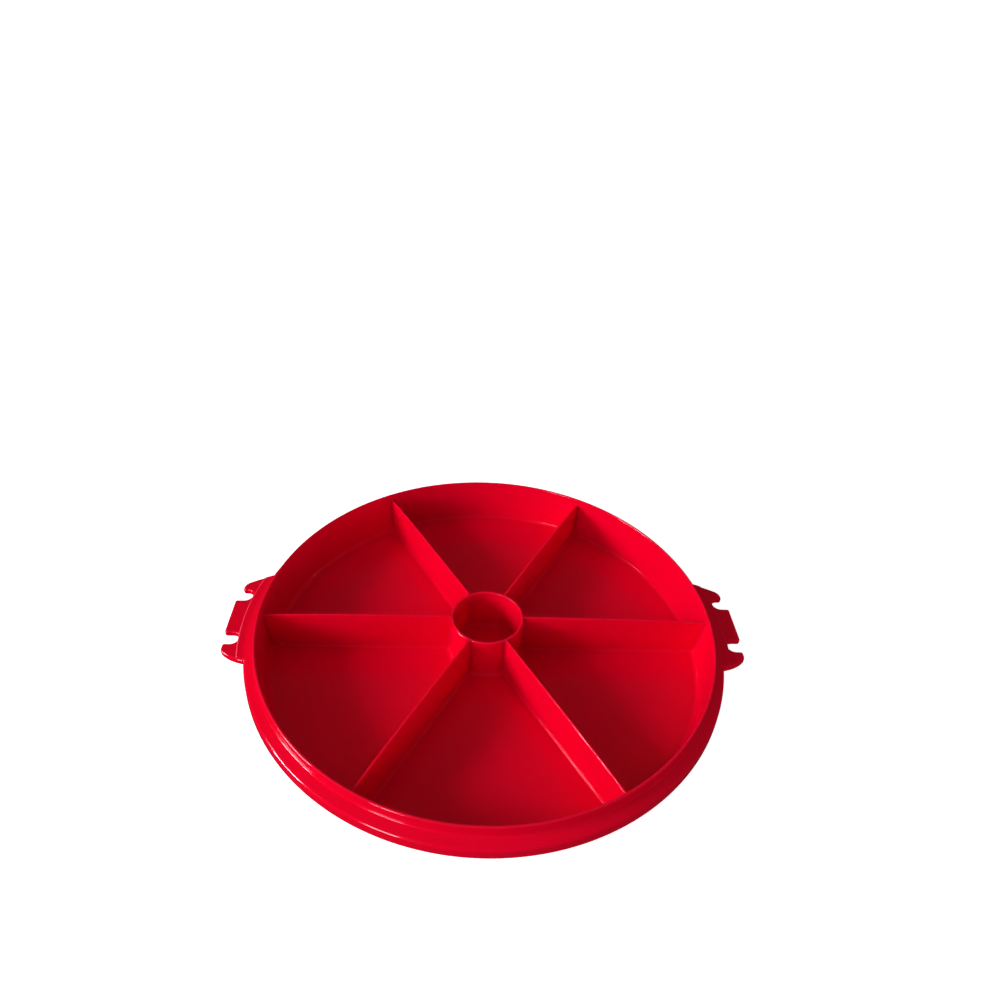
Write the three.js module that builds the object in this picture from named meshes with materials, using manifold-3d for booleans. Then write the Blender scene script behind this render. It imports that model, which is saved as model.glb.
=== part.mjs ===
// Round divided serving tray moulded in red gloss plastic: wedge compartments round a centre cup,
// an upright sealing lip, a sloping ledge with a turned-down skirt, and two notched clip lugs.
// Millimetres, +Z up. The origin lies under the centre of the tray, on the surface that it stands on.
// +X points at the right-hand lug and at the divider in line with it.

import * as THREE from "three";
import { mergeVertices } from "three/addons/utils/BufferGeometryUtils.js";
import Module from "manifold-3d";

const wasm = await Module();
wasm.setup();

// Floor and foot
const compartmentDepth = 31.5; // from the top of the lip down to the floor
const floorThickness = 2.2;
const floorCornerRadius = 1.8; // rounding under the outer edge of the floor
const footHeight = 1.8;
const footInset = 8.4; // from the edge of the floor, inside the wall, in to the foot's outer side
const footWidth = 5;

// Wall, lip, ledge and skirt
const wallThickness = 2;
const wallFlare = 3.8; // the inner face leans out this far on its way from the floor to the lip's top
const lipOuterRadius = 148;
const lipThickness = 1.8; // at the top, where the lip is half round
const lipHeight = 7.5; // upright part above the ledge
const ledgeWidth = 6.8; // from the lip's outer face to the outermost edge of the rim
const ledgeDrop = 1.7; // the ledge falls this far on its way out
const ledgeThickness = 2.2;
const ledgeEdgeRadius = 2;
const skirtThickness = 2;
const skirtHeight = 6; // from the ledge's outer edge down to the skirt's lower edge

// Centre cup and dividers
const hubBelowLip = 2.2; // the cup's top lies this far under the top of the lip
const hubOuterRadius = 24;
const hubThickness = 2;
const dividerBaseThickness = 2.4;
const dividerTopThickness = 1.6;
const dividerFall = 1.8; // a divider's top drops this far on its way from the cup to the wall
const dividerNames = ["right", "back_right", "back_left", "left", "front_left", "front_right"];

// Clip lugs: a shelf level with the ledge, then a lower plate with a middle tab between two notches
// and a rounded lobe outside each notch
const lugOffset = 5; // the middle of each lug lies this far towards the back
const lugHalfSpan = 39.5; // half the lug's length where it springs from the rim
const lugReach = 13.9; // the tab's outer edge beyond the rim
const lugBelowLedge = 1.3; // the plate's top lies this far under the ledge's outer edge
const lugEdge = 0.8; // bevel along the plate's edges
const shelfWidth = 4.4; // from the rim to the shelf's outer edge
const shelfBelowLedge = 0.3;
const shelfEdgeRadius = 0.7;
const tabCornerRadius = 1.6;
const notchOffset = 19.2; // a notch's centre line from the middle of the lug
const notchWidth = 9.6;
const notchDepth = 9.9; // from the tab's outer edge to the notch's round end, just short of the shelf
const lobeSetback = 1.3; // the lobes end short of the tab by this much
const lobeCornerRadius = 1.2; // at the mouth of the notch
const lobeFlat = 1.7; // straight stretch of a lobe's outer end
const lobeRadius = 5.2;
const lobeSweep = THREE.MathUtils.degToRad(57); // turn of the lobe's round shoulder
const rootEase = 0.6; // how far along the slope the root starts to ease into the rim

// Fit and fineness
const seamGap = 0.3; // between a piece and the curved face that it ends at
const ringSegments = 120; // flats round every ring
const arcSteps = 4; // chords in a small rounding
const curveSteps = 6; // chords in a curve of the lug's outline

// Heights worked out from the sizes above
const floorUnderside = footHeight;
const floorTop = floorUnderside + floorThickness;
const lipTop = floorTop + compartmentDepth;
const lipBase = lipTop - lipHeight;
const wallTop = lipBase - ledgeThickness;
const ledgeEdgeTop = lipBase - ledgeDrop;
const skirtTop = ledgeEdgeTop - ledgeThickness;
const skirtBottom = ledgeEdgeTop - skirtHeight;
const ledgeEdgeCentre = ledgeEdgeTop - ledgeEdgeRadius;
const hubTop = lipTop - hubBelowLip;
const lugTop = ledgeEdgeTop - lugBelowLedge;
const shelfTop = ledgeEdgeTop - shelfBelowLedge;

// Radii worked out from the sizes above
const lipInnerRadius = lipOuterRadius - lipThickness;
const floorRadius = lipInnerRadius - wallFlare;
const footOuterRadius = floorRadius - footInset;
const rimRadius = lipOuterRadius + ledgeWidth;
const skirtInnerRadius = rimRadius - skirtThickness;
const ledgeEdgeCentreRadius = rimRadius - ledgeEdgeRadius;
const lugRootRadius = rimRadius + seamGap;

// The inner face is one cone, from the floor to the top of the lip.
function innerRadius(height) {
  return floorRadius + (wallFlare * (height - floorTop)) / compartmentDepth;
}

function outerRadius(height) {
  return innerRadius(height) + wallThickness;
}

// Points of a circular rounding in a section, both ends included.
function rounding(centreRadius, centreHeight, radius, fromAngle, toAngle) {
  const points = [];
  for (let i = 0; i <= arcSteps; i += 1) {
    const angle = fromAngle + ((toAngle - fromAngle) * i) / arcSteps;
    points.push([centreRadius + radius * Math.cos(angle), centreHeight + radius * Math.sin(angle)]);
  }
  return points;
}

// A section, given as [radius, height] points, carried once round the Z axis.
// A flat, not a corner, faces each of the dividers.
function turned(section) {
  const points = section.map(([radius, height]) => new THREE.Vector2(radius, height));
  const geometry = new THREE.LatheGeometry(points, ringSegments, Math.PI / ringSegments);
  return geometry.rotateX(Math.PI / 2);
}

// A ring's section closes on itself.
function ring(section) {
  return turned([...section, section[0]]);
}

function solid(geometry) {
  const bare = geometry.index ? geometry.toNonIndexed() : geometry.clone();
  bare.deleteAttribute("normal");
  bare.deleteAttribute("uv");
  const merged = mergeVertices(bare);
  const mesh = new wasm.Mesh({
    numProp: 3,
    vertProperties: new Float32Array(merged.attributes.position.array),
    triVerts: new Uint32Array(merged.index.array),
  });
  return new wasm.Manifold(mesh);
}

function geometryOf(manifold) {
  const mesh = manifold.getMesh();
  const geometry = new THREE.BufferGeometry();
  geometry.setAttribute("position", new THREE.BufferAttribute(mesh.vertProperties, 3));
  geometry.setIndex(new THREE.BufferAttribute(mesh.triVerts, 1));
  return geometry;
}

function glossRed() {
  return new THREE.MeshStandardMaterial({ color: 0xd4001e, roughness: 0.25, metalness: 0 });
}

function piece(name, geometry) {
  const mesh = new THREE.Mesh(geometry, glossRed());
  mesh.name = name;
  return mesh;
}

// Floor plate, rounded under its outer edge, which the wall stands on.
function floorDisc() {
  const edge = outerRadius(floorTop);
  const centreHeight = floorUnderside + floorCornerRadius;
  return turned([
    [0, floorUnderside],
    ...rounding(edge - floorCornerRadius, centreHeight, floorCornerRadius, -Math.PI / 2, 0),
    [edge, floorTop],
    [0, floorTop],
  ]);
}

// Low ring under the floor that the tray stands on.
function footRing() {
  const inner = footOuterRadius - footWidth;
  return ring([
    [inner, 0],
    [footOuterRadius, 0],
    [footOuterRadius, footHeight],
    [inner, footHeight],
  ]);
}

// Tapered wall from the floor up to the ledge.
function sideWall() {
  return ring([
    [innerRadius(floorTop), floorTop],
    [outerRadius(floorTop), floorTop],
    [outerRadius(wallTop), wallTop],
    [innerRadius(wallTop), wallTop],
  ]);
}

// Sloping ledge on top of the wall, with a rounded outer edge.
function rimLedge() {
  const slope = Math.atan2(ledgeDrop, ledgeWidth);
  const upward = Math.PI / 2 - slope;
  return ring([
    [innerRadius(wallTop), wallTop],
    [outerRadius(wallTop), wallTop],
    [skirtInnerRadius, skirtTop],
    [rimRadius, skirtTop],
    ...rounding(ledgeEdgeCentreRadius, ledgeEdgeCentre, ledgeEdgeRadius, 0, upward),
    [lipOuterRadius, lipBase],
    [innerRadius(lipBase), lipBase],
  ]);
}

// Turned-down skirt under the ledge's outer edge.
function rimSkirt() {
  return ring([
    [skirtInnerRadius, skirtBottom],
    [rimRadius, skirtBottom],
    [rimRadius, skirtTop],
    [skirtInnerRadius, skirtTop],
  ]);
}

// Upright lip with a half-round top.
function sealingLip() {
  const radius = lipThickness / 2;
  return ring([
    [innerRadius(lipBase), lipBase],
    [lipOuterRadius, lipBase],
    ...rounding(lipOuterRadius - radius, lipTop - radius, radius, 0, Math.PI),
  ]);
}

// Wall of the centre cup, with a half-round top.
function hubRing() {
  const radius = hubThickness / 2;
  return ring([
    [hubOuterRadius - hubThickness, floorTop],
    [hubOuterRadius, floorTop],
    ...rounding(hubOuterRadius - radius, hubTop - radius, radius, 0, Math.PI),
  ]);
}

// Drafted bar with a round, falling top along +X, cut to run from the centre cup to the wall.
function dividerBar() {
  const topRadius = dividerTopThickness / 2;
  const height = hubTop - floorTop;
  const slope = dividerFall / (innerRadius(hubTop) - hubOuterRadius);
  const section = new THREE.Shape();
  section.moveTo(-dividerBaseThickness / 2, 0);
  section.lineTo(dividerBaseThickness / 2, 0);
  section.lineTo(topRadius, height - topRadius);
  section.absarc(0, height - topRadius, topRadius, 0, Math.PI, false);
  const options = { depth: lipOuterRadius, bevelEnabled: false, curveSegments: arcSteps };
  const along = new THREE.Vector3(1, 0, 0);
  const across = new THREE.Vector3(0, 1, 0);
  const up = new THREE.Vector3(0, 0, 1);
  const bar = new THREE.ExtrudeGeometry(section, options);
  bar.applyMatrix4(new THREE.Matrix4().makeBasis(across, up, along));
  bar.applyMatrix4(new THREE.Matrix4().makeShear(0, -slope, 0, 0, 0, 0));
  bar.translate(0, 0, floorTop + slope * hubOuterRadius);
  const bay = ring([
    [hubOuterRadius + seamGap, floorTop],
    [innerRadius(floorTop) - seamGap, floorTop],
    [innerRadius(lipTop) - seamGap, lipTop],
    [hubOuterRadius + seamGap, lipTop],
  ]);
  return geometryOf(solid(bar).intersect(solid(bay)));
}

// Half of a lug's outline in plan, from the middle of the tab's outer edge round to the rim.
function lugHalfOutline(rootX) {
  const tabX = rimRadius + lugReach;
  const lobeX = tabX - lobeSetback;
  const notchRadius = notchWidth / 2;
  const tabSide = notchOffset - notchRadius;
  const lobeSide = notchOffset + notchRadius;
  const notchEndX = tabX - notchDepth + notchRadius;
  const mouthY = lobeSide + lobeCornerRadius;
  const lobeEnd = mouthY + lobeFlat;
  const shoulderX = lobeX - lobeRadius + lobeRadius * Math.cos(lobeSweep);
  const shoulderY = lobeEnd + lobeRadius * Math.sin(lobeSweep);
  const easeX = THREE.MathUtils.lerp(shoulderX, rootX, rootEase);
  const easeY = shoulderY + (shoulderX - easeX) / Math.tan(lobeSweep);
  const half = new THREE.Path();
  half.moveTo(tabX, 0);
  half.absarc(tabX - tabCornerRadius, tabSide - tabCornerRadius, tabCornerRadius, 0, Math.PI / 2, false);
  half.absarc(notchEndX, notchOffset, notchRadius, -Math.PI / 2, -1.5 * Math.PI, true);
  half.absarc(lobeX - lobeCornerRadius, mouthY, lobeCornerRadius, -Math.PI / 2, 0, false);
  half.absarc(lobeX - lobeRadius, lobeEnd, lobeRadius, 0, lobeSweep, false);
  half.quadraticCurveTo(easeX, easeY, rootX, lugHalfSpan);
  return half.getPoints(curveSteps);
}

// Whole outline of the +X lug in plan, closed along an arc round the tray's axis.
function lugOutline(closingRadius) {
  const backAngle = Math.asin((lugOffset + lugHalfSpan) / lugRootRadius);
  const frontAngle = Math.asin((lugOffset - lugHalfSpan) / lugRootRadius);
  const back = lugHalfOutline(lugRootRadius * Math.cos(backAngle));
  const front = lugHalfOutline(lugRootRadius * Math.cos(frontAngle)).slice(1);
  const placed = [
    ...front.reverse().map((point) => new THREE.Vector2(point.x, lugOffset - point.y)),
    ...back.map((point) => new THREE.Vector2(point.x, lugOffset + point.y)),
  ];
  const closing = new THREE.Path().absarc(0, 0, closingRadius, backAngle, frontAngle, true);
  const inner = closing.getPoints(2 * curveSteps);
  return new THREE.Shape([...placed, ...(closingRadius === lugRootRadius ? inner.slice(1, -1) : inner)]);
}

// Ring whose inner face follows the rim at a small gap and whose top is level with the ledge's edge.
function shelfRing() {
  const radius = rimRadius + shelfWidth;
  const rimGap = ledgeEdgeRadius + seamGap;
  const meeting = Math.asin((shelfTop - ledgeEdgeCentre) / rimGap);
  return ring([
    [lugRootRadius, skirtBottom],
    [radius, skirtBottom],
    ...rounding(radius - shelfEdgeRadius, shelfTop - shelfEdgeRadius, shelfEdgeRadius, 0, Math.PI / 2),
    ...rounding(ledgeEdgeCentreRadius, ledgeEdgeCentre, rimGap, meeting, 0),
  ]);
}

// Lug on the +X side: the notched plate and the shelf behind it, flush with the skirt's lower edge.
function lugPlate() {
  const plate = new THREE.ExtrudeGeometry(lugOutline(lugRootRadius), {
    depth: lugTop - skirtBottom - 2 * lugEdge,
    bevelThickness: lugEdge,
    bevelSize: lugEdge,
    bevelOffset: -lugEdge,
    bevelSegments: 1,
  });
  plate.translate(0, 0, skirtBottom + lugEdge);
  const reach = new THREE.ExtrudeGeometry(lugOutline(lipOuterRadius), { depth: lipTop, bevelEnabled: false });
  const shelf = solid(shelfRing()).intersect(solid(reach));
  return geometryOf(solid(plate).add(shelf));
}

const tray = new THREE.Group();

tray.add(piece("floor_disc", floorDisc()));
tray.add(piece("foot_ring", footRing()));
tray.add(piece("side_wall", sideWall()));
tray.add(piece("rim_ledge", rimLedge()));
tray.add(piece("rim_skirt", rimSkirt()));
tray.add(piece("sealing_lip", sealingLip()));
tray.add(piece("hub_ring", hubRing()));

const bar = dividerBar();
dividerNames.forEach((place, index) => {
  const divider = piece(`divider_${place}`, bar);
  divider.rotation.z = (2 * Math.PI * index) / dividerNames.length;
  tray.add(divider);
});

const plate = lugPlate();
["right", "left"].forEach((side, index) => {
  const lug = piece(`lug_${side}`, plate);
  lug.scale.x = 1 - 2 * index;
  tray.add(lug);
});

export default tray;
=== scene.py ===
"""Looks of a round divided serving tray, moulded in one piece from red gloss plastic.

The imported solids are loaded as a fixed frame. Each of them is then stood for by a smooth surface worked
out here from the same sizes, with the small fillets and rounded edges that a moulding has.
Sizes are in millimetres and become metres when a mesh is made. +Z is up, +X points at the right-hand lug.
"""

import logging
import math
from dataclasses import dataclass
from enum import Enum

import bpy
import numpy as np
from mathutils import Matrix, Vector


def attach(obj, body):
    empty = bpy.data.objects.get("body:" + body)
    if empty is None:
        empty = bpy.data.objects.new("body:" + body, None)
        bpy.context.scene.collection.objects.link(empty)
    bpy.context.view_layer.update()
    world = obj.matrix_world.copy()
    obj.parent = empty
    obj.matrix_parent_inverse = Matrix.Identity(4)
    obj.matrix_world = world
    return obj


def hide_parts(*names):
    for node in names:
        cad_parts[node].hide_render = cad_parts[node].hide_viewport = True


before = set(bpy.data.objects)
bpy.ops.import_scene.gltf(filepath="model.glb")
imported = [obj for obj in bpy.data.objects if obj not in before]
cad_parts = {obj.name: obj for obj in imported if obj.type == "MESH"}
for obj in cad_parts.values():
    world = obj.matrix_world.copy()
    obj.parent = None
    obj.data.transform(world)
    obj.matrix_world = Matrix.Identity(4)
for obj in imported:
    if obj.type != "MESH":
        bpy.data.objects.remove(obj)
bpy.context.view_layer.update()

MM = 0.001
SHARP_ANGLE = math.radians(32)  # an edge that turns more than this is shaded sharp
LOG = logging.getLogger("tray")


class DividerPlace(Enum):
    """Where a divider stands, as its number of sixths of a turn from +X."""

    RIGHT = 0
    BACK_RIGHT = 1
    BACK_LEFT = 2
    LEFT = 3
    FRONT_LEFT = 4
    FRONT_RIGHT = 5


class Side(Enum):
    """Side of the tray that a lug is on, as the sign of its X."""

    RIGHT = 1
    LEFT = -1


class Role(Enum):
    """What a studio light is for."""

    STREAK = "shows in the gloss"
    SOFT = "lights the plastic without a mirror image"


def arc(centre: tuple[float, float], radius: float, start: float, end: float, steps: int = 8) -> np.ndarray:
    """Works out points of a circular rounding: centre + radius * (cos, sin) of evenly spaced angles.

    Args:
        centre: Centre of the circle.
        radius: Radius of the circle.
        start: Angle of the first point, in degrees.
        end: Angle of the last point, in degrees.
        steps: Number of chords.

    Returns:
        Points in the plane, both ends included.
    """
    angle = np.radians(np.linspace(start, end, steps + 1))
    return np.column_stack((centre[0] + radius * np.cos(angle), centre[1] + radius * np.sin(angle)))


def chain(*stretches: np.ndarray, hold: float = 0.25) -> np.ndarray:
    """Joins roundings and corner points into one outline, with straight lines between them.

    Each straight line gets a point a short way in from either end, so that smooth shading turns only in the
    roundings and the flats between them stay flat.

    Args:
        stretches: Arrays of points, in order.
        hold: Distance of the extra points from the ends of a line.

    Returns:
        Points of the outline.
    """
    parts = [np.atleast_2d(np.asarray(stretch, float)) for stretch in stretches]
    joined = [parts[0]]
    for before, after in zip(parts, parts[1:]):
        start, end = before[-1], after[0]
        length = float(np.linalg.norm(end - start))
        if length > 3 * hold:
            step = (end - start) * hold / length
            joined.append(np.array([start + step, end - step]))
        joined.append(after)
    return np.vstack(joined)


def smooth_min(first: np.ndarray, second: np.ndarray | float, blend: float) -> np.ndarray:
    """Gives the smaller of two values with a soft corner: -blend * log(exp(-a / blend) + exp(-b / blend))."""
    return -blend * np.logaddexp(-np.asarray(first) / blend, -np.asarray(second) / blend)


def grid_faces(rows: int, columns: int, close_rows: bool, close_columns: bool) -> list[list[int]]:
    """Numbers the quads of a grid whose vertices are counted row by row.

    A quad goes along its row first and then up a column, so it faces along (row direction) x (column direction).

    Args:
        rows: Number of rows.
        columns: Number of vertices in a row.
        close_rows: Whether the last row joins the first.
        close_columns: Whether the last vertex of a row joins the first.

    Returns:
        Four vertex numbers for each quad.
    """
    row = np.arange(rows if close_rows else rows - 1)[:, None]
    column = np.arange(columns if close_columns else columns - 1)[None, :]
    above, beside = (row + 1) % rows, (column + 1) % columns
    corners = (row * columns + column, row * columns + beside, above * columns + beside, above * columns + column)
    return np.stack(corners, axis=-1).reshape(-1, 4).tolist()


@dataclass
class Surface:
    """A closed surface: vertices in millimetres, faces as vertex numbers, outward side first."""

    vertices: np.ndarray
    faces: list[list[int]]

    def joined(self, other: "Surface") -> "Surface":
        """Returns this surface and another as one."""
        count = len(self.vertices)
        shifted = [[number + count for number in face] for face in other.faces]
        return Surface(np.vstack((self.vertices, other.vertices)), self.faces + shifted)

    def mirrored(self) -> "Surface":
        """Returns the mirror image in X, with its faces turned round so that they still point outwards."""
        return Surface(self.vertices * (-1, 1, 1), [face[::-1] for face in self.faces])

    def turned(self, degrees: float) -> "Surface":
        """Returns the surface turned about the Z axis."""
        cosine, sine = math.cos(math.radians(degrees)), math.sin(math.radians(degrees))
        turn = np.array(((cosine, sine, 0), (-sine, cosine, 0), (0, 0, 1)))
        return Surface(self.vertices @ turn, self.faces)


def spin(section: np.ndarray, segments: int) -> np.ndarray:
    """Turns points once round Z: x = r cos t, y = r sin t, z = h for every (r, h) and turn t.

    Args:
        section: (radius, height) points.
        segments: Number of steps of the turn.

    Returns:
        Vertices, ring by ring.
    """
    turn = np.linspace(0, 2 * math.pi, segments, endpoint=False)[None, :]
    radius, height = section[:, :1], section[:, 1:]
    return np.stack((radius * np.cos(turn), radius * np.sin(turn), height + 0 * turn), axis=-1).reshape(-1, 3)


def revolve(section: np.ndarray, segments: int = 360) -> Surface:
    """Turns a closed section once round Z, as spin says.

    Args:
        section: (radius, height) points, counter-clockwise.
        segments: Number of steps of the turn.

    Returns:
        A ring with no open edge.
    """
    return Surface(spin(section, segments), grid_faces(len(section), segments, True, True))


def revolve_plate(section: np.ndarray, segments: int = 360) -> Surface:
    """Turns an open section once round Z, as spin says, and closes it to a point on the axis at both ends.

    Args:
        section: (radius, height) points from the lower middle out and up to the upper middle.
        segments: Number of steps of the turn.

    Returns:
        A plate with no open edge.
    """
    points = spin(section, segments)
    low, high = len(points), len(points) + 1
    poles = np.array(((0, 0, section[0, 1]), (0, 0, section[-1, 1])))
    faces = grid_faces(len(section), segments, False, True)
    here = np.arange(segments)
    beside = (here + 1) % segments
    top = (len(section) - 1) * segments
    faces += np.column_stack((np.full(segments, low), beside, here)).tolist()
    faces += np.column_stack((np.full(segments, high), top + here, top + beside)).tolist()
    return Surface(np.vstack((points, poles)), faces)


def carry(points: np.ndarray) -> Surface:
    """Closes a section that is carried along a path: round the section, and by a flat face at each end.

    Args:
        points: Grid of vertices, with a row for each point of the section and a column for each place on the path.

    Returns:
        A surface with no open edge.
    """
    rows, columns = points.shape[:2]
    faces = grid_faces(rows, columns, True, False)
    first = np.arange(rows) * columns
    faces += [first.tolist(), (first + columns - 1)[::-1].tolist()]
    return Surface(points.reshape(-1, 3), faces)


def linear(code: str) -> tuple[float, float, float, float]:
    """Turns an sRGB hex colour into linear red, green, blue and full alpha.

    Args:
        code: Six hex digits.

    Returns:
        Four numbers for a colour socket.
    """
    shares = np.array([int(code[place : place + 2], 16) / 255 for place in (0, 2, 4)])
    values = np.where(shares <= 0.04045, shares / 12.92, ((shares + 0.055) / 1.055) ** 2.4)
    return (*(float(value) for value in values), 1.0)


def add_node(
    tree: bpy.types.NodeTree,
    kind: str,
    settings: dict[str | int, object],
    links: dict[str | int, bpy.types.NodeSocket],
) -> bpy.types.Node:
    """Adds a node, sets its properties and inputs and links what feeds it.

    Args:
        tree: Node tree that the node goes into.
        kind: Type of the node.
        settings: Values by input or property name, or by input number.
        links: Feeding sockets by input name or number.

    Returns:
        The node.
    """
    node = tree.nodes.new(kind)
    for key, value in settings.items():
        if isinstance(key, int) or key in node.inputs:
            node.inputs[key].default_value = value
        else:
            setattr(node, key, value)
    for key, socket in links.items():
        tree.links.new(socket, node.inputs[key])
    return node


def new_material(name: str) -> bpy.types.Material:
    """Adds a material whose node tree is still empty.

    Args:
        name: Name of the material.

    Returns:
        The material.
    """
    material = bpy.data.materials.new(name)
    material.use_nodes = True
    material.node_tree.nodes.clear()
    return material


@dataclass(frozen=True)
class MouldedPolypropylene:
    """Through-coloured polypropylene from a polished mould.

    It gives the eye a deep even red with a clear gloss, a faint cloudiness from the flow of the melt, a slight
    orange peel, dull hairline scuffs where the tray is used, and paler plastic where an edge is abraded. The same
    pale colour also stands as a painted highlight along the shelf edge of the left lug. A thin wall glows faintly
    where light falls on its other side.
    """

    name: str
    colour: str = "ea0029"
    deep: str = "e00025"
    # pale colour of abraded edges, which on the left lug's shelf edge is a painted highlight
    rubbed_and_highlight: str = "fb5c74"
    ior: float = 1.49
    gloss: float = 0.07
    scuffed: float = 0.13
    cloud: float = 45.0  # width of a cloud in the colour
    peel: float = 3.5  # width of a wave of the orange peel
    peel_height: float = 0.002
    scuff: float = 1.4  # hairlines are finer, and drawn this wide so that they show
    scuff_slim: float = 0.12  # width of a hairline as a share of its length
    scuff_turn: float = 0.5  # radians about Z
    scuff_range: tuple[float, float] = (0.35, 0.75)  # noise values from clean gloss to a full scuff
    rub_and_highlight_range: tuple[float, float] = (0.25, 0.6)  # noise values from the plain colour to the full pale colour of abrasion and painted highlight
    glow: float = 0.0  # share of the light that spreads in the plastic and glows through a thin wall
    glow_depth: float = 4.0
    glow_reach: tuple[float, float, float] = (1.0, 0.3, 0.8)  # of red, green and blue, as shares of the depth
    glow_from: float = 6.0  # the thick foot of a wall stays dense up to this height
    glow_full: float = 11.0

    def make(self) -> bpy.types.Material:
        """Builds the material with its patterns in object coordinates.

        Returns:
            The material.
        """
        material = new_material(self.name)
        tree = material.node_tree
        place = add_node(tree, "ShaderNodeTexCoord", {}, {}).outputs["Object"]
        cloud_settings = {"Scale": 1 / (self.cloud * MM), "Detail": 2.0, "Roughness": 0.45}
        cloud = add_node(tree, "ShaderNodeTexNoise", cloud_settings, {"Vector": place})
        colours = {"Color1": linear(self.deep), "Color2": linear(self.colour)}
        tint = add_node(tree, "ShaderNodeMixRGB", colours, {"Fac": cloud.outputs["Fac"]})
        stretch = {"Scale": (1.0, self.scuff_slim, 1.0), "Rotation": (0.0, 0.0, self.scuff_turn)}
        lines = add_node(tree, "ShaderNodeMapping", stretch, {"Vector": place})
        scuff_settings = {"Scale": 1 / (self.scuff * MM), "Detail": 4.0, "Roughness": 0.6}
        scuff = add_node(tree, "ShaderNodeTexNoise", scuff_settings, {"Vector": lines.outputs["Vector"]})
        # how pale each vertex is: abrasion on rounded tops and the foot, a painted highlight on the left lug's
        # shelf edge
        rub_and_highlight = add_node(tree, "ShaderNodeAttribute", {"attribute_name": "rub_and_highlight"}, {}).outputs["Fac"]
        broken_settings = {"From Min": self.rub_and_highlight_range[0], "From Max": self.rub_and_highlight_range[1]}
        broken_links = {"Value": scuff.outputs["Fac"], "To Max": rub_and_highlight}
        broken = add_node(tree, "ShaderNodeMapRange", broken_settings, broken_links)
        worn_and_highlight_links = {"Fac": broken.outputs["Result"], "Color1": tint.outputs["Color"]}
        worn_and_highlight = add_node(tree, "ShaderNodeMixRGB", {"Color2": linear(self.rubbed_and_highlight)}, worn_and_highlight_links)
        clean, full = self.scuff_range
        spread = {"From Min": clean, "From Max": full, "To Min": self.gloss, "To Max": self.scuffed}
        dullness = add_node(tree, "ShaderNodeMapRange", spread, {"Value": scuff.outputs["Fac"]})
        peel_settings = {"Scale": 1 / (self.peel * MM), "Detail": 1.0}
        peel = add_node(tree, "ShaderNodeTexNoise", peel_settings, {"Vector": place})
        bump_settings = {"Strength": 1.0, "Distance": self.peel_height * MM}
        bump = add_node(tree, "ShaderNodeBump", bump_settings, {"Height": peel.outputs["Fac"]})
        skin_links = {
            "Base Color": worn_and_highlight.outputs["Color"],
            "Roughness": dullness.outputs["Result"],
            "Normal": bump.outputs["Normal"],
        }
        if self.glow > 0:
            rise = add_node(tree, "ShaderNodeSeparateXYZ", {}, {"Vector": place}).outputs["Z"]
            foot = {"From Min": self.glow_from * MM, "From Max": self.glow_full * MM, "To Max": self.glow}
            share = add_node(tree, "ShaderNodeMapRange", foot, {"Value": rise})
            skin_links["Subsurface Weight"] = share.outputs["Result"]
        skin_settings = {
            "IOR": self.ior,
            "Subsurface Radius": self.glow_reach,
            "Subsurface Scale": self.glow_depth * MM,
        }
        skin = add_node(tree, "ShaderNodeBsdfPrincipled", skin_settings, skin_links)
        add_node(tree, "ShaderNodeOutputMaterial", {}, {"Surface": skin.outputs["BSDF"]})
        return material


@dataclass(frozen=True)
class WhiteLaminate:
    """White melamine laminate of a light table: pale, matt and nearly without a grain."""

    name: str = "white_laminate_pressed"
    colour: str = "f7f7f7"
    shade: str = "f3f3f3"
    roughness: float = 0.7
    glow: float = 0.88  # light from under the table top, which thins the shadows
    mottle: float = 90.0

    def make(self) -> bpy.types.Material:
        """Builds the material with a faint mottle in object coordinates.

        Returns:
            The material.
        """
        material = new_material(self.name)
        tree = material.node_tree
        place = add_node(tree, "ShaderNodeTexCoord", {}, {}).outputs["Object"]
        mottle = add_node(tree, "ShaderNodeTexNoise", {"Scale": 1 / (self.mottle * MM)}, {"Vector": place})
        colours = {"Color1": linear(self.shade), "Color2": linear(self.colour)}
        tint = add_node(tree, "ShaderNodeMixRGB", colours, {"Fac": mottle.outputs["Fac"]})
        settings = {
            "Roughness": self.roughness,
            "Emission Color": linear(self.colour),
            "Emission Strength": self.glow,
        }
        skin = add_node(tree, "ShaderNodeBsdfPrincipled", settings, {"Base Color": tint.outputs["Color"]})
        add_node(tree, "ShaderNodeOutputMaterial", {}, {"Surface": skin.outputs["BSDF"]})
        return material


def set_piece(node: str, surface: Surface, rub_and_highlight: np.ndarray, finish: bpy.types.Material) -> None:
    """Makes the piece that stands for a solid, dresses it and lets it ride with the tray.

    Args:
        node: Name of the solid.
        surface: Shape of the piece.
        rub_and_highlight: Abrasion of each vertex from 0 to 1, a painted highlight on one lug's shelf edge.
        finish: Material of the piece.
    """
    mesh = bpy.data.meshes.new(f"{node}_skin")
    mesh.from_pydata((surface.vertices * MM).tolist(), [], surface.faces)
    mesh.shade_smooth()
    mesh.set_sharp_from_angle(angle=SHARP_ANGLE)
    # abrasion, and on the left lug's shelf edge a painted highlight, kept as a vertex attribute for the material
    wear_and_highlight = mesh.attributes.new("rub_and_highlight", "FLOAT", "POINT")
    wear_and_highlight.data.foreach_set("value", np.ascontiguousarray(rub_and_highlight, np.float32))
    mesh.materials.append(finish)
    piece = bpy.data.objects.new(f"{node}_skin", mesh)
    bpy.context.scene.collection.objects.link(piece)
    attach(piece, "root")
    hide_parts(node)
    LOG.info("%s stands for %s, %d faces", piece.name, node, len(mesh.polygons))


def rub_above(surface: Surface, height: np.ndarray | float, depth: float = 0.7, most: float = 0.05) -> np.ndarray:
    """Gives the wear of a rounded top: none below height - depth, rising evenly to the most at height."""
    return most * np.clip((surface.vertices[:, 2] - height + depth) / depth, 0, 1)


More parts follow.
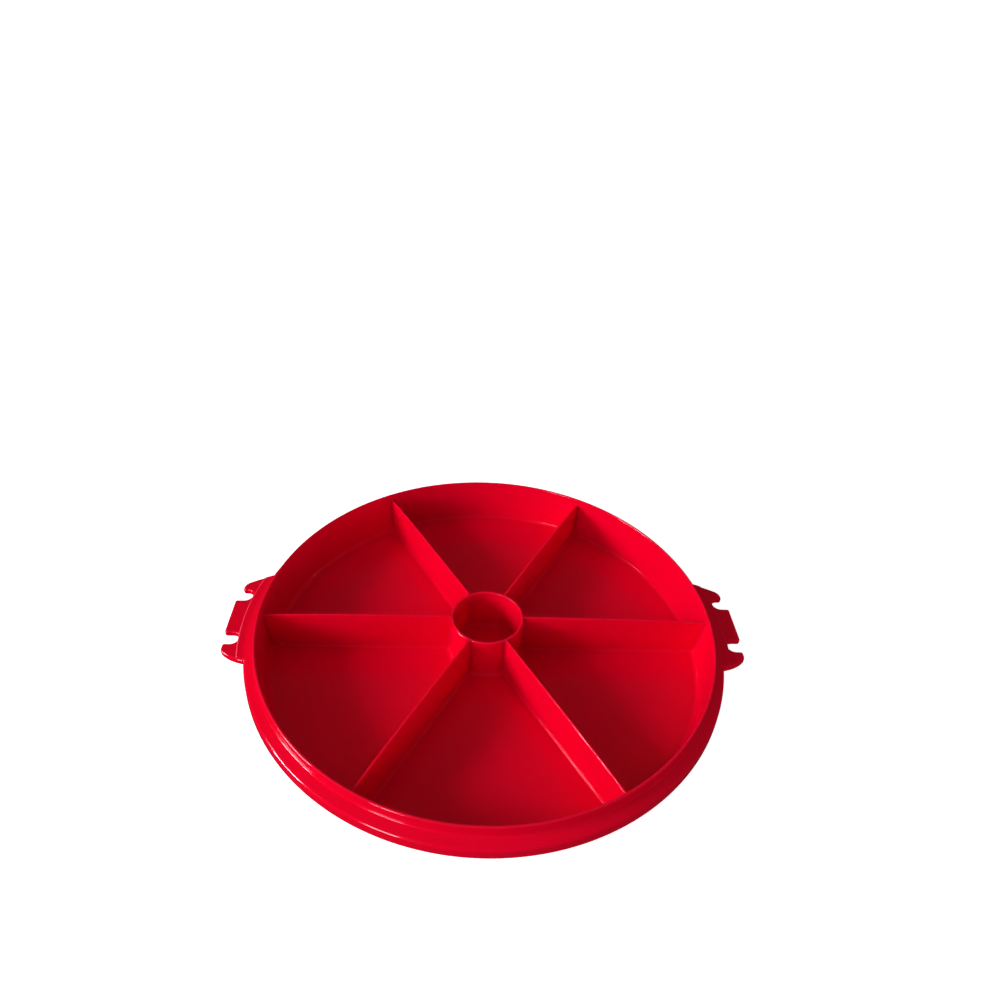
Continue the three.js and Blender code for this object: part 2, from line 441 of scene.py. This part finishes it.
@dataclass(frozen=True)
class Mould:
    """Sizes that several pieces of the tray share, in millimetres."""

    floor_top: float = 4.0
    lip_top: float = 35.5
    lip_radius: float = 148.0
    lip_thickness: float = 1.8
    lip_height: float = 7.5
    flare: float = 3.8  # the inner face leans out this far on its way up
    wall: float = 2.0
    ledge_thickness: float = 2.2
    rim_radius: float = 154.8
    rim_round: float = 2.6
    rim_round_height: float = 23.85  # centre of the rim's rounded edge
    skirt_thickness: float = 2.0
    skirt_top: float = 23.4
    skirt_bottom: float = 18.3
    hub_top: float = 33.3
    hub_radius: float = 24.0
    fillet: float = 3.2  # moulded fillet at the feet of the wall and the cup
    foot_sunk: float = 0.15  # these feet reach this far into the floor

    @property
    def lean(self) -> float:
        """Step outwards of the inner face for each millimetre up."""
        return self.flare / (self.lip_top - self.floor_top)

    @property
    def lean_angle(self) -> float:
        """Lean of the inner face from upright, in degrees."""
        return math.degrees(math.atan(self.lean))

    @property
    def floor_radius(self) -> float:
        """Radius where the inner face meets the floor."""
        return self.lip_radius - self.lip_thickness - self.flare

    @property
    def lip_base(self) -> float:
        """Height where the lip stands on the ledge."""
        return self.lip_top - self.lip_height

    @property
    def wall_top(self) -> float:
        """Height where the wall ends under the ledge."""
        return self.lip_base - self.ledge_thickness

    @property
    def rim_centre(self) -> tuple[float, float]:
        """Centre of the rim's rounded edge, as radius and height."""
        return self.rim_radius - self.rim_round, self.rim_round_height

    @property
    def ledge_angle(self) -> float:
        """Fall of the ledge in degrees: the line from the lip's foot that touches the rim's rounded edge."""
        across = self.rim_centre[0] - self.lip_radius
        down = self.lip_base - self.rim_centre[1]
        reach = math.hypot(across, down)
        return math.degrees(math.atan2(down, across) - math.asin(self.rim_round / reach))

    def inner(self, height: np.ndarray | float) -> np.ndarray | float:
        """Gives the radius of the inner face, a cone, at a height."""
        return self.floor_radius + self.lean * (height - self.floor_top)

    def ledge(self, radius: np.ndarray | float) -> np.ndarray | float:
        """Gives the height of the sloping ledge, a cone, at a radius."""
        return self.lip_base - math.tan(math.radians(self.ledge_angle)) * (radius - self.lip_radius)


@dataclass
class Bowl:
    """Floor plate, the ring that it stands on and the tapered wall round the compartments."""

    mould: Mould
    floor_underside: float = 1.8
    floor_corner: float = 1.8
    floor_middle: float = 5.0  # radius where its rings end in a fan of faces
    foot_radius: float = 134.0
    foot_width: float = 5.0
    foot_round: float = 0.5
    foot_overlap: float = 0.1  # the foot reaches this far into the floor
    foot_wear: float = 0.3
    foot_wear_height: float = 0.4
    wall_inset: float = 0.05  # the wall's lowest edge stands this far inside the floor's edge

    def floor(self) -> Surface:
        """Works out the floor plate: flat, and rounded under its edge into the lean of the wall.

        Returns:
            The plate.
        """
        mould = self.mould
        centre_height = self.floor_underside + self.floor_corner
        wall_there = mould.inner(centre_height) + mould.wall
        centre = (wall_there - self.floor_corner * math.hypot(1, mould.lean), centre_height)
        edge = mould.floor_radius + mould.wall
        section = chain(
            [[self.floor_middle, self.floor_underside]],
            arc(centre, self.floor_corner, -90, -mould.lean_angle),
            [[edge, mould.floor_top]],
            [[self.floor_middle, mould.floor_top]],
        )
        return revolve_plate(section)

    def foot(self) -> Surface:
        """Works out the foot: a low ring with rounded lower edges.

        Returns:
            The ring.
        """
        inner, outer, small = self.foot_radius - self.foot_width, self.foot_radius, self.foot_round
        top = self.floor_underside + self.foot_overlap
        section = chain(
            arc((inner + small, small), small, 180, 270, steps=5),
            arc((outer - small, small), small, 270, 360, steps=5),
            [[outer, top], [inner, top]],
        )
        return revolve(section)

    def wall(self) -> Surface:
        """Works out the wall: a leaning band whose inner face runs into the floor in a fillet.

        Returns:
            The ring.
        """
        mould, sunk = self.mould, self.mould.floor_top - self.mould.foot_sunk
        centre_height = mould.floor_top + mould.fillet
        centre_radius = mould.inner(centre_height) - mould.fillet * math.hypot(1, mould.lean)
        section = chain(
            [[centre_radius, sunk]],
            [[mould.inner(sunk) + mould.wall - self.wall_inset, sunk]],
            [[mould.inner(mould.floor_top) + mould.wall, mould.floor_top]],
            [[mould.inner(mould.wall_top) + mould.wall, mould.wall_top]],
            [[mould.inner(mould.wall_top), mould.wall_top]],
            arc((centre_radius, centre_height), mould.fillet, -mould.lean_angle, -90),
        )
        return revolve(section)

    def build(self, finish: bpy.types.Material, floor_finish: bpy.types.Material) -> None:
        """Makes and dresses the floor, foot and wall.

        Args:
            finish: Gloss finish of the walls.
            floor_finish: Finish of the floor, which is scuffed by use.
        """
        floor, foot, wall = self.floor(), self.foot(), self.wall()
        foot_rub = self.foot_wear * np.clip(1 - foot.vertices[:, 2] / self.foot_wear_height, 0, 1)
        set_piece("floor_disc", floor, np.zeros(len(floor.vertices)), floor_finish)
        set_piece("foot_ring", foot, foot_rub, finish)
        set_piece("side_wall", wall, np.zeros(len(wall.vertices)), finish)


@dataclass
class Rim:
    """Upright sealing lip, sloping ledge with a rounded edge, and turned-down skirt."""

    mould: Mould
    foot_fillet: float = 1.3  # hollow where the lip stands on the ledge
    skirt_draft: float = 0.1  # the skirt stands out this far above its lower edge
    skirt_round: float = 1.1
    skirt_inner_round: float = 0.5

    def lip_foot(self) -> tuple[float, float]:
        """Gives the centre of the hollow at the lip's foot, which touches the lip and the ledge."""
        mould, radius = self.mould, self.mould.lip_radius + self.foot_fillet
        rise = self.foot_fillet / math.cos(math.radians(mould.ledge_angle))
        return radius, mould.ledge(radius) + rise

    def ledge(self) -> Surface:
        """Works out the ledge: a hollow at the lip's foot, a straight slope and a rounded outer edge.

        Returns:
            The ring.
        """
        mould, hollow = self.mould, self.lip_foot()
        section = chain(
            [[mould.inner(mould.wall_top), mould.wall_top]],
            [[mould.inner(mould.wall_top) + mould.wall, mould.wall_top]],
            [[mould.rim_radius - mould.skirt_thickness, mould.skirt_top]],
            [[mould.rim_radius, mould.skirt_top]],
            arc(mould.rim_centre, mould.rim_round, 0, 90 - mould.ledge_angle, steps=12),
            arc(hollow, self.foot_fillet, 270 - mould.ledge_angle, 180),
            [[mould.inner(hollow[1]), hollow[1]]],
        )
        return revolve(section)

    def skirt(self) -> Surface:
        """Works out the skirt: an upright band with rounded lower edges and a little draft.

        Returns:
            The ring.
        """
        mould, small, large = self.mould, self.skirt_inner_round, self.skirt_round
        inner, outer = mould.rim_radius - mould.skirt_thickness, mould.rim_radius + self.skirt_draft
        section = chain(
            arc((inner + small, mould.skirt_bottom + small), small, 180, 270, steps=5),
            arc((outer - large, mould.skirt_bottom + large), large, 270, 360, steps=10),
            [[mould.rim_radius, mould.skirt_top], [inner, mould.skirt_top]],
        )
        return revolve(section)

    def lip(self) -> Surface:
        """Works out the lip: an upright outer face, a round top and an inner face on the wall's cone.

        The top's radius makes the round touch both faces.

        Returns:
            The ring.
        """
        mould, base = self.mould, self.lip_foot()[1]
        sine, cosine = (f(math.radians(mould.lean_angle)) for f in (math.sin, math.cos))
        top = mould.lip_thickness / (1 + cosine - mould.lean * (1 - sine))
        section = chain(
            [[mould.inner(base), base], [mould.lip_radius, base]],
            arc((mould.lip_radius - top, mould.lip_top - top), top, 0, 180 - mould.lean_angle, steps=14),
        )
        return revolve(section)

    def build(self, finish: bpy.types.Material) -> None:
        """Makes and dresses the ledge, skirt and lip.

        Args:
            finish: Gloss finish of the rim.
        """
        ledge, skirt, lip = self.ledge(), self.skirt(), self.lip()
        set_piece("rim_ledge", ledge, np.zeros(len(ledge.vertices)), finish)
        set_piece("rim_skirt", skirt, np.zeros(len(skirt.vertices)), finish)
        set_piece("sealing_lip", lip, rub_above(lip, self.mould.lip_top), finish)


@dataclass
class CentreCup:
    """Round wall of the cup in the middle of the tray."""

    mould: Mould
    thickness: float = 2.0

    def wall(self) -> Surface:
        """Works out the cup's wall: upright faces, a half-round top and a fillet on either side of its foot.

        Returns:
            The ring.
        """
        mould, half, fillet = self.mould, self.thickness / 2, self.mould.fillet
        outer, inner = mould.hub_radius, mould.hub_radius - self.thickness
        foot, sunk = mould.floor_top + fillet, mould.floor_top - mould.foot_sunk
        section = chain(
            [[inner - fillet, sunk], [outer + fillet, sunk]],
            arc((outer + fillet, foot), fillet, 270, 180),
            arc((outer - half, mould.hub_top - half), half, 0, 180, steps=16),
            arc((inner - fillet, foot), fillet, 0, -90),
        )
        return revolve(section, segments=180)

    def build(self, finish: bpy.types.Material) -> None:
        """Makes and dresses the cup's wall.

        Args:
            finish: Gloss finish of the cup.
        """
        wall = self.wall()
        set_piece("hub_ring", wall, rub_above(wall, self.mould.hub_top), finish)


@dataclass
class Divider:
    """Drafted divider wall from the centre cup to the side wall, with a round top that falls outwards."""

    mould: Mould
    place: DividerPlace
    base_thickness: float = 2.4
    top_thickness: float = 1.6
    fall: float = 2.4
    early_fall: float = 0.2  # share of the fall that is even, the rest comes near the wall
    foot_fillet: float = 1.9
    end_fillet: float = 1.4
    sunk: float = 0.3  # its ends and foot reach this far into what they stand against
    end_hold: float = 0.3  # past an end fillet it keeps an even thickness for this far
    rub_depth: float = 0.5
    fillet_points: int = 9
    crown_points: int = 15
    places: int = 31  # even places along it between the end fillets, both ends counted
    rises: tuple[float, ...] = (0.01, 0.2, 0.4, 0.6, 0.8, 0.99)  # shares of the way up the straight side

    def top(self, share: np.ndarray) -> np.ndarray:
        """Gives the height of the top, which falls by fall * (even * share + (1 - even) * share^5).

        Args:
            share: Share of the way from the cup to the wall.

        Returns:
            Height at each share.
        """
        even = self.early_fall
        return self.mould.hub_top - self.fall * (even * share + (1 - even) * share**5)

    def surface(self) -> Surface:
        """Works out the divider as a section carried from the cup to the wall.

        The half thickness is that of the draft, plus the flare r - sqrt(r^2 - (r - h)^2) of a fillet of radius r
        along its foot (at height h), plus that of the fillets at its ends (at a distance from the cup or wall).

        Returns:
            The divider along +X.
        """
        mould, foot, fillet, half_top = self.mould, self.foot_fillet, self.end_fillet, self.top_thickness / 2
        turn = np.radians(np.linspace(90, 0, self.fillet_points))
        near = np.concatenate(([-self.sunk], fillet * (1 - np.sin(turn)), [fillet + self.end_hold]))
        share = np.linspace(0, 1, self.places)
        span = mould.inner(mould.hub_top) - mould.hub_radius
        nominal = np.concatenate((near, fillet + (span - 2 * fillet) * share[1:-1], span - near[::-1]))
        top = self.top(np.clip(nominal / span, 0, 1))
        rise = np.concatenate(([-self.sunk], foot * (1 - np.sin(turn))))
        body = np.array(self.rises)
        crown = np.radians(np.linspace(0, 180, self.crown_points))
        low = mould.floor_top + rise[:, None] + 0 * top[None, :]
        crown_foot = top - half_top
        straight_start = mould.floor_top + foot
        straight = straight_start + body[:, None] * (crown_foot - straight_start)[None, :]
        arch = crown_foot[None, :] + half_top * np.sin(crown)[:, None]
        height = np.vstack((low, straight, arch, straight[::-1], low[::-1]))
        draft = (self.base_thickness - self.top_thickness) / 2 / (mould.hub_top - half_top - mould.floor_top)
        side = half_top + draft * np.clip(crown_foot[None, :] - height, 0, None)
        sides = len(low) + len(straight)
        sign = np.concatenate((-np.ones(sides), -np.cos(crown), np.ones(sides)))[:, None]
        inner_half = np.arange(len(nominal)) < len(nominal) / 2
        outward = mould.hub_radius + nominal[None, :] + 0 * height
        inward = mould.inner(height) - (span - nominal)[None, :]
        radius = np.where(inner_half[None, :], outward, inward)
        clear = near[-1] + 0.01
        middle = (nominal > clear) & (nominal < span - clear)
        reach = np.clip((nominal - fillet) / (span - 2 * fillet), 0, 1)[None, :]
        first, last = mould.hub_radius + fillet, mould.inner(height) - fillet
        radius = np.where(middle[None, :], first + reach * (last - first), radius)
        gap = np.minimum(radius - mould.hub_radius, mould.inner(height) - radius)
        above = np.clip(foot - (height - mould.floor_top), 0, foot)
        beside = np.clip(fillet - gap, 0, fillet)
        flare = foot - np.sqrt(foot**2 - above**2) + fillet - np.sqrt(fillet**2 - beside**2)
        across = sign * (side + flare)
        return carry(np.stack((np.sqrt(radius**2 - across**2), across, height), axis=-1))

    def build(self, finish: bpy.types.Material) -> None:
        """Makes and dresses the divider at its place.

        Args:
            finish: Gloss finish of the divider.
        """
        straight = self.surface()
        along = np.hypot(straight.vertices[:, 0], straight.vertices[:, 1]) - self.mould.hub_radius
        span = self.mould.inner(self.mould.hub_top) - self.mould.hub_radius
        top = self.top(np.clip(along / span, 0, 1))
        rub_and_highlight = rub_above(straight, top, self.rub_depth)
        surface = straight.turned(360 / len(DividerPlace) * self.place.value)
        set_piece(f"divider_{self.place.name.lower()}", surface, rub_and_highlight, finish)


@dataclass(frozen=True)
class Lobe:
    """Plan of the lobe between a notch and the rim: a short flat, a round shoulder and a curve into the rim."""

    setback: float  # its flat stands this far behind the tab
    flat: float
    radius: float
    sweep: float  # degrees of the shoulder
    half_span: float  # from the middle of the lug to where the curve meets the rim
    ease: float  # share of the way in to the rim where the curve turns


@dataclass
class Lug:
    """Clip lug: a shelf that carries the ledge outwards and a lower plate with a tab between two notches."""

    mould: Mould
    side: Side
    offset: float = 5.0  # the middle lies this far towards the back
    back: Lobe = Lobe(2.7, 0.7, 6.3, 59.0, 38.6, 0.52)
    front: Lobe = Lobe(1.3, 1.9, 5.2, 49.0, 38.0, 0.42)
    root_radius: float = 155.1
    tab_x: float = 168.7
    tab_corner: float = 1.6
    notch_offset: float = 19.4
    notch_width: float = 9.8
    notch_depth: float = 10.3
    lobe_corner: float = 1.5
    inside_step: float = 2.0  # the plate's outline closes this far inside its root, under the rim
    inside_margin: float = 0.4  # degrees
    top: float = 24.9
    bottom: float = 20.3
    edge_round: tuple[float, float] = (1.15, 1.5)  # inwards and down
    lower_round: tuple[float, float] = (1.0, 1.7)  # inwards and up
    flat_inset: float = 0.2  # past its rounded edges the plate has an even ring this wide
    shelf_radius: float = 159.2
    shelf_round: float = 0.75
    shelf_inset: float = 1.2  # near its ends it stands this far inside the plate's edge
    shelf_least: float = 152.9  # its ends run out under the ledge
    shelf_clear: float = 172.0  # limit across the tab, so wide that its own radius alone counts
    shelf_blends: tuple[float, float] = (0.5, 0.2)  # soft corners where its edge meets the root curves and the rim
    shelf_run_out: float = 3.0  # past a root curve its edge falls this far in as many degrees
    shelf_margin: float = 2.4  # degrees that it goes on past the root curves
    shelf_overlap: float = 1.2  # its top begins this far up the ledge
    shelf_under: float = 0.02  # there it lies this far under the ledge's face
    shelf_depth: float = 0.6  # its inner side ends this far under where its top begins
    shelf_tuck: float = 0.3  # its inner side lies this far past the skirt's inner face
    shelf_raise: float = 0.05  # its underside lies this far above the plate's
    # pale band on the shelf's rounded edge: abrasion where a clip slides; the left lug's larger value is a painted
    # highlight
    shelf_wear_and_highlight: float = 0.1
    shelf_level: float = 1.4  # the ledge's slope dies away over this distance

    def half(self, sign: int) -> tuple[np.ndarray, np.ndarray]:
        """Works out half of the plan outline, from the tab's middle to the rim, with tangent arcs and lines.

        Args:
            sign: 1 for the back half, -1 for the front half.

        Returns:
            Points of the tab, notch and lobe, and points of the root curve, a parabola.
        """
        lobe = self.back if sign > 0 else self.front
        root_y = self.offset + sign * lobe.half_span
        root_x = math.sqrt(self.root_radius**2 - root_y**2)
        round_end = self.notch_width / 2
        lobe_x = self.tab_x - lobe.setback
        tab_side = self.notch_offset - round_end
        mouth = self.notch_offset + round_end + self.lobe_corner
        lobe_end = mouth + lobe.flat
        notch_x = self.tab_x - self.notch_depth + round_end
        shoulder = arc((lobe_x - lobe.radius, lobe_end), lobe.radius, 0, lobe.sweep, steps=24)
        start, root = shoulder[-1], np.array((root_x, lobe.half_span))
        ease_x = start[0] + lobe.ease * (root[0] - start[0])
        ease = np.array((ease_x, start[1] + (start[0] - ease_x) / math.tan(math.radians(lobe.sweep))))
        step = np.linspace(0, 1, 41)[:, None]
        curve = (1 - step) ** 2 * start + 2 * step * (1 - step) * ease + step**2 * root
        corner = self.tab_corner
        body = np.vstack(
            (
                [[self.tab_x, 0.0]],
                arc((self.tab_x - corner, tab_side - corner), corner, 0, 90, steps=24),
                arc((notch_x, self.notch_offset), round_end, -90, -270, steps=48),
                arc((lobe_x - self.lobe_corner, mouth), self.lobe_corner, -90, 0, steps=24),
                shoulder,
            )
        )
        place = np.array((1, sign))
        return body * place + (0, self.offset), curve * place + (0, self.offset)

    def outline(self, spacing: float = 0.22) -> np.ndarray:
        """Works out the plate's whole outline in plan, counter-clockwise, closed inside the rim.

        Args:
            spacing: Distance between its points.

        Returns:
            Evenly spaced points.
        """
        (back, back_root), (front, front_root) = self.half(1), self.half(-1)
        back_end, front_end = (math.degrees(math.atan2(c[-1, 1], c[-1, 0])) for c in (back_root, front_root))
        inside, margin = self.root_radius - self.inside_step, self.inside_margin
        closing = arc((0, 0), inside, back_end + margin, front_end - margin, steps=60)
        loop = np.vstack((front_root[::-1], front[::-1], back[1:], back_root, closing, front_root[-1:]))
        step = np.linalg.norm(np.diff(loop, axis=0), axis=1)
        loop = loop[np.concatenate(([True], step > 1e-6))]
        travel = np.concatenate(([0], np.cumsum(np.linalg.norm(np.diff(loop, axis=0), axis=1))))
        even = np.linspace(0, travel[-1], int(travel[-1] / spacing), endpoint=False)
        return np.column_stack((np.interp(even, travel, loop[:, 0]), np.interp(even, travel, loop[:, 1])))

    def plate(self) -> Surface:
        """Works out the plate: its outline carried up a side with rounded edges, moved in along its normal.

        Returns:
            The plate on the +X side.
        """
        outline = self.outline()
        along = np.roll(outline, -1, axis=0) - np.roll(outline, 1, axis=0)
        inward = np.column_stack((-along[:, 1], along[:, 0])) / np.linalg.norm(along, axis=1)[:, None]
        small, edge = self.lower_round, self.edge_round
        side = chain(
            [[small[0] + self.flat_inset, self.bottom]],
            arc((1, 1), 1, 270, 180, steps=6) * small + (0, self.bottom),
            arc((1, -1), 1, 180, 90, steps=10) * edge + (0, self.top),
            [[edge[0] + self.flat_inset, self.top]],
        )
        plan = outline[None] + side[:, :1, None] * inward[None]
        height = np.broadcast_to(side[:, 1:, None], (*plan.shape[:2], 1))
        count = len(outline)
        faces = grid_faces(len(side), count, False, True)
        faces += [list(range(count))[::-1], list(range((len(side) - 1) * count, len(side) * count))]
        return Surface(np.concatenate((plan, height), axis=-1).reshape(-1, 3), faces)

    def shelf_edge(self, turn: np.ndarray) -> np.ndarray:
        """Gives the shelf's outer radius: the smaller of its own radius and the root curves, softly joined.

        Args:
            turn: Angles about Z, in degrees.

        Returns:
            Radius at each angle.
        """
        roots = self.half(-1)[1][::-1], self.half(1)[1]
        front, back = (np.degrees(np.arctan2(root[:, 1], root[:, 0])) for root in roots)
        front_radius, back_radius = (np.hypot(root[:, 0], root[:, 1]) for root in roots)
        past, step, clear = self.shelf_run_out, 0.2, self.shelf_clear
        middle = (front[-1] + step, back[0] - step)
        angle = np.concatenate(([front[0] - past], front, middle, back, [back[-1] + past]))
        radius = np.concatenate(
            ([front_radius[0] - past], front_radius, (clear, clear), back_radius, [back_radius[-1] - past])
        )
        limit = np.interp(turn, angle, radius) - self.shelf_inset
        edge = smooth_min(self.shelf_radius, limit, self.shelf_blends[0])
        return -smooth_min(-edge, -self.shelf_least, self.shelf_blends[1])

    def shelf(self) -> Surface:
        """Works out the shelf: a section carried round the rim, whose top follows the ledge and then levels out.

        Beyond the rim's straight slope the top falls by slope * level * (1 - exp(-distance / level)).

        Returns:
            The shelf on the +X side.
        """
        mould = self.mould
        roots = np.array((self.offset - self.front.half_span, self.offset + self.back.half_span))
        ends = np.degrees(np.arcsin(roots / self.root_radius))
        turn = np.linspace(ends[0] - self.shelf_margin, ends[1] + self.shelf_margin, 321)
        edge = self.shelf_edge(turn)
        slope_end = mould.rim_centre[0] + mould.rim_round * math.sin(math.radians(mould.ledge_angle))
        start, inside = slope_end - self.shelf_overlap, mould.rim_radius - mould.skirt_thickness + self.shelf_tuck
        share = np.concatenate(([0.0], np.linspace(0.05, 0.95, 10), [1.0]))[:, None]
        top_radius = start + share * (edge - self.shelf_round - start)[None, :]
        beyond = np.clip(top_radius - slope_end, 0, None)
        fall = math.tan(math.radians(mould.ledge_angle)) * self.shelf_level
        before = np.minimum(top_radius, slope_end)
        top_height = mould.ledge(before) - fall * (1 - np.exp(-beyond / self.shelf_level)) - self.shelf_under
        corner = np.radians(np.linspace(90, 0, 9))[1:, None]
        round_radius = edge[None, :] - self.shelf_round * (1 - np.cos(corner))
        round_height = top_height[-1:] - self.shelf_round * (1 - np.sin(corner))
        low = np.full((1, len(turn)), self.bottom + self.shelf_raise)
        radius = np.vstack((np.full((2, len(turn)), inside), top_radius, round_radius, edge[None, :]))[::-1]
        height = np.vstack((low, top_height[:1] - self.shelf_depth, top_height, round_height, low))[::-1]
        angle = np.radians(turn)[None, :]
        return carry(np.stack((radius * np.cos(angle), radius * np.sin(angle), height), axis=-1))

    def wear_and_highlight(self, plate: Surface, shelf: Surface) -> np.ndarray:
        """Gives the pale band of the lug: full on the shelf's rounded edge, none elsewhere. A little is abrasion
        where a clip slides; the much paler band of the left lug is a painted highlight.

        Args:
            plate: Plate on the +X side.
            shelf: Shelf on the +X side.

        Returns:
            Abrasion and painted highlight of each vertex of the plate and then of the shelf.
        """
        points = shelf.vertices
        before, rise, below = 0.1, 0.3, 0.2  # where the pale band begins, how soon it is full and how far down it goes
        out = np.hypot(points[:, 0], points[:, 1]) - (self.shelf_radius - self.shelf_round - before)
        rubbed_and_highlight = self.shelf_wear_and_highlight * np.clip(out / rise, 0, 1) * (points[:, 2] > self.top - below)
        return np.concatenate((np.zeros(len(plate.vertices)), rubbed_and_highlight))

    def build(self, finish: bpy.types.Material) -> None:
        """Makes and dresses the lug on its side of the tray.

        Args:
            finish: Gloss finish of the lug.
        """
        plate, shelf = self.plate(), self.shelf()
        surface, wear_and_highlight = plate.joined(shelf), self.wear_and_highlight(plate, shelf)
        if self.side is Side.LEFT:
            surface = surface.mirrored()
        set_piece(f"lug_{self.side.name.lower()}", surface, wear_and_highlight, finish)


@dataclass(frozen=True)
class Window:
    """A window of the studio: a streak on the rounded edges of the gloss, or a soft panel that lights the tray."""

    name: str
    azimuth: float  # degrees about Z from +X
    elevation: float
    width: float  # degrees
    height: float
    radiance: float
    role: Role
    colour: str = "faeaff"
    distance: float = 4.0

    def hang(self) -> None:
        """Adds the window as an area light that faces the middle of the tray."""
        turn, rise = math.radians(self.azimuth), math.radians(self.elevation)
        towards = Vector((math.cos(rise) * math.cos(turn), math.cos(rise) * math.sin(turn), math.sin(rise)))
        light = bpy.data.lights.new(self.name, "AREA")
        light.shape = "RECTANGLE"
        light.size = 2 * self.distance * math.tan(math.radians(self.width / 2))
        light.size_y = 2 * self.distance * math.tan(math.radians(self.height / 2))
        light.energy = self.radiance * math.pi * light.size * light.size_y
        light.color = linear(self.colour)[:3]
        lamp = bpy.data.objects.new(self.name, light)
        lamp.location = towards * self.distance
        lamp.rotation_mode = "QUATERNION"
        lamp.rotation_quaternion = towards.to_track_quat("Z", "Y")
        lamp.visible_camera = False
        lamp.visible_glossy = self.role is Role.STREAK
        lamp.visible_diffuse = self.role is Role.SOFT
        bpy.context.scene.collection.objects.link(lamp)


@dataclass
class Studio:
    """Pale table top, windows, soft panels, a weak even fill and the camera."""

    table_size: float = 60.0  # metres, as the drop is
    table_drop: float = 0.0001
    room: str = "ffffff"
    horizon: float = 0.1  # share of the rise within which the fill from above and from below blend
    fill: float = 0.287
    fill_below: float = 0.306  # light that the table sends back
    fill_mirrored: float = 0.016
    backdrop: float = 1.0
    windows: tuple[Window, ...] = (
        Window("window_left", -166.0, 8.0, 15.5, 16.0, 32.0, Role.STREAK),
        Window("window_left_frame", -176.5, 20.5, 7.0, 9.0, 13.0, Role.STREAK),
        Window("window_front_left", -125.5, 8.0, 12.0, 16.0, 18.0, Role.STREAK),
        Window("panel_left", -165.0, 22.5, 22.0, 17.0, 26.1, Role.SOFT),
        Window("panel_front_left", -126.0, 30.0, 26.0, 24.0, 1.5, Role.SOFT),
        Window("panel_low_front_left", -118.0, 12.0, 18.0, 12.0, 6.7, Role.SOFT),
        Window("panel_low_right", -32.0, 5.0, 40.0, 9.0, 3.3, Role.SOFT),
    )
    camera_place: tuple[float, float, float] = (-19.86, -350.89, 393.76)
    camera_right: tuple[float, float, float] = (0.998275, -0.026022, 0.052662)
    camera_up: tuple[float, float, float] = (-0.026338, 0.603048, 0.797277)
    camera_back: tuple[float, float, float] = (-0.052502, -0.797283, 0.601321)
    lens: float = 27.296
    sensor: float = 36.0
    clip: tuple[float, float] = (0.01, 200.0)  # metres

    def lay_table(self) -> None:
        """Lays the table top: a flat grid just under the tray's foot."""
        ticks = np.linspace(-self.table_size / 2, self.table_size / 2, 9)
        across, along = np.meshgrid(ticks, ticks)
        points = np.stack((across, along, np.full_like(across, -self.table_drop)), axis=-1).reshape(-1, 3)
        mesh = bpy.data.meshes.new("table_top")
        mesh.from_pydata(points.tolist(), [], grid_faces(len(ticks), len(ticks), False, False))
        mesh.materials.append(WhiteLaminate().make())
        table = bpy.data.objects.new("table_top", mesh)
        table.visible_glossy = table.visible_diffuse = False  # so that the tray is lit by the studio alone
        bpy.context.scene.collection.objects.link(table)

    def fill_light(self) -> None:
        """Sets the surroundings: pale behind the table, a weak even fill on the tray, dim in its gloss."""
        world = bpy.data.worlds.new("soft_room")
        world.use_nodes = True
        tree = world.node_tree
        tree.nodes.clear()
        path = add_node(tree, "ShaderNodeLightPath", {}, {})
        place = add_node(tree, "ShaderNodeTexCoord", {}, {}).outputs["Generated"]
        rise = add_node(tree, "ShaderNodeSeparateXYZ", {}, {"Vector": place}).outputs["Z"]
        spread = {
            "From Min": -self.horizon,
            "From Max": self.horizon,
            "To Min": self.fill_below,
            "To Max": self.fill,
        }
        fill = add_node(tree, "ShaderNodeMapRange", spread, {"Value": rise}).outputs["Result"]
        mirrored_links = {0: path.outputs["Is Glossy Ray"], 2: fill}
        mirrored = add_node(tree, "ShaderNodeMix", {3: self.fill_mirrored}, mirrored_links).outputs[0]
        seen_links = {0: path.outputs["Is Camera Ray"], 2: mirrored}
        seen = add_node(tree, "ShaderNodeMix", {3: self.backdrop}, seen_links).outputs[0]
        room = add_node(tree, "ShaderNodeBackground", {"Color": linear(self.room)}, {"Strength": seen})
        add_node(tree, "ShaderNodeOutputWorld", {}, {"Surface": room.outputs["Background"]})
        bpy.context.scene.world = world

    def set_camera(self) -> None:
        """Sets the camera where the photograph was taken from."""
        lens = bpy.data.cameras.new("camera")
        lens.lens = self.lens
        lens.sensor_width = self.sensor
        lens.clip_start, lens.clip_end = self.clip
        camera = bpy.data.objects.new("camera", lens)
        axes = Matrix((self.camera_right, self.camera_up, self.camera_back)).transposed()
        camera.matrix_world = Matrix.Translation(Vector(self.camera_place) * MM) @ axes.to_4x4()
        bpy.context.scene.collection.objects.link(camera)
        bpy.context.scene.camera = camera

    def build(self) -> None:
        """Sets up the table, windows, fill and camera."""
        self.lay_table()
        for window in self.windows:
            window.hang()
        self.fill_light()
        self.set_camera()
        bpy.context.scene.view_settings.view_transform = "Standard"


def main() -> None:
    """Builds the tray and its studio."""
    logging.basicConfig(level=logging.INFO, format="%(name)s: %(message)s")
    mould = Mould()
    gloss = MouldedPolypropylene("red_polypropylene_polished_mould").make()
    thin_gloss = MouldedPolypropylene("red_polypropylene_thin_wall", glow=0.8).make()
    floor_gloss = MouldedPolypropylene("red_polypropylene_scuffed_floor", gloss=0.08, scuffed=0.15).make()
    Bowl(mould).build(gloss, floor_gloss)
    Rim(mould).build(gloss)
    CentreCup(mould).build(thin_gloss)
    for place in DividerPlace:
        Divider(mould, place).build(thin_gloss)
    Lug(mould, Side.RIGHT).build(gloss)
    # painted highlight: the left lug's shelf edge is made far paler for the bright line the low left window draws
    Lug(mould, Side.LEFT, shelf_wear_and_highlight=0.9).build(gloss)
    Studio().build()
    bpy.context.view_layer.update()


if __name__ == "__main__":
    main()
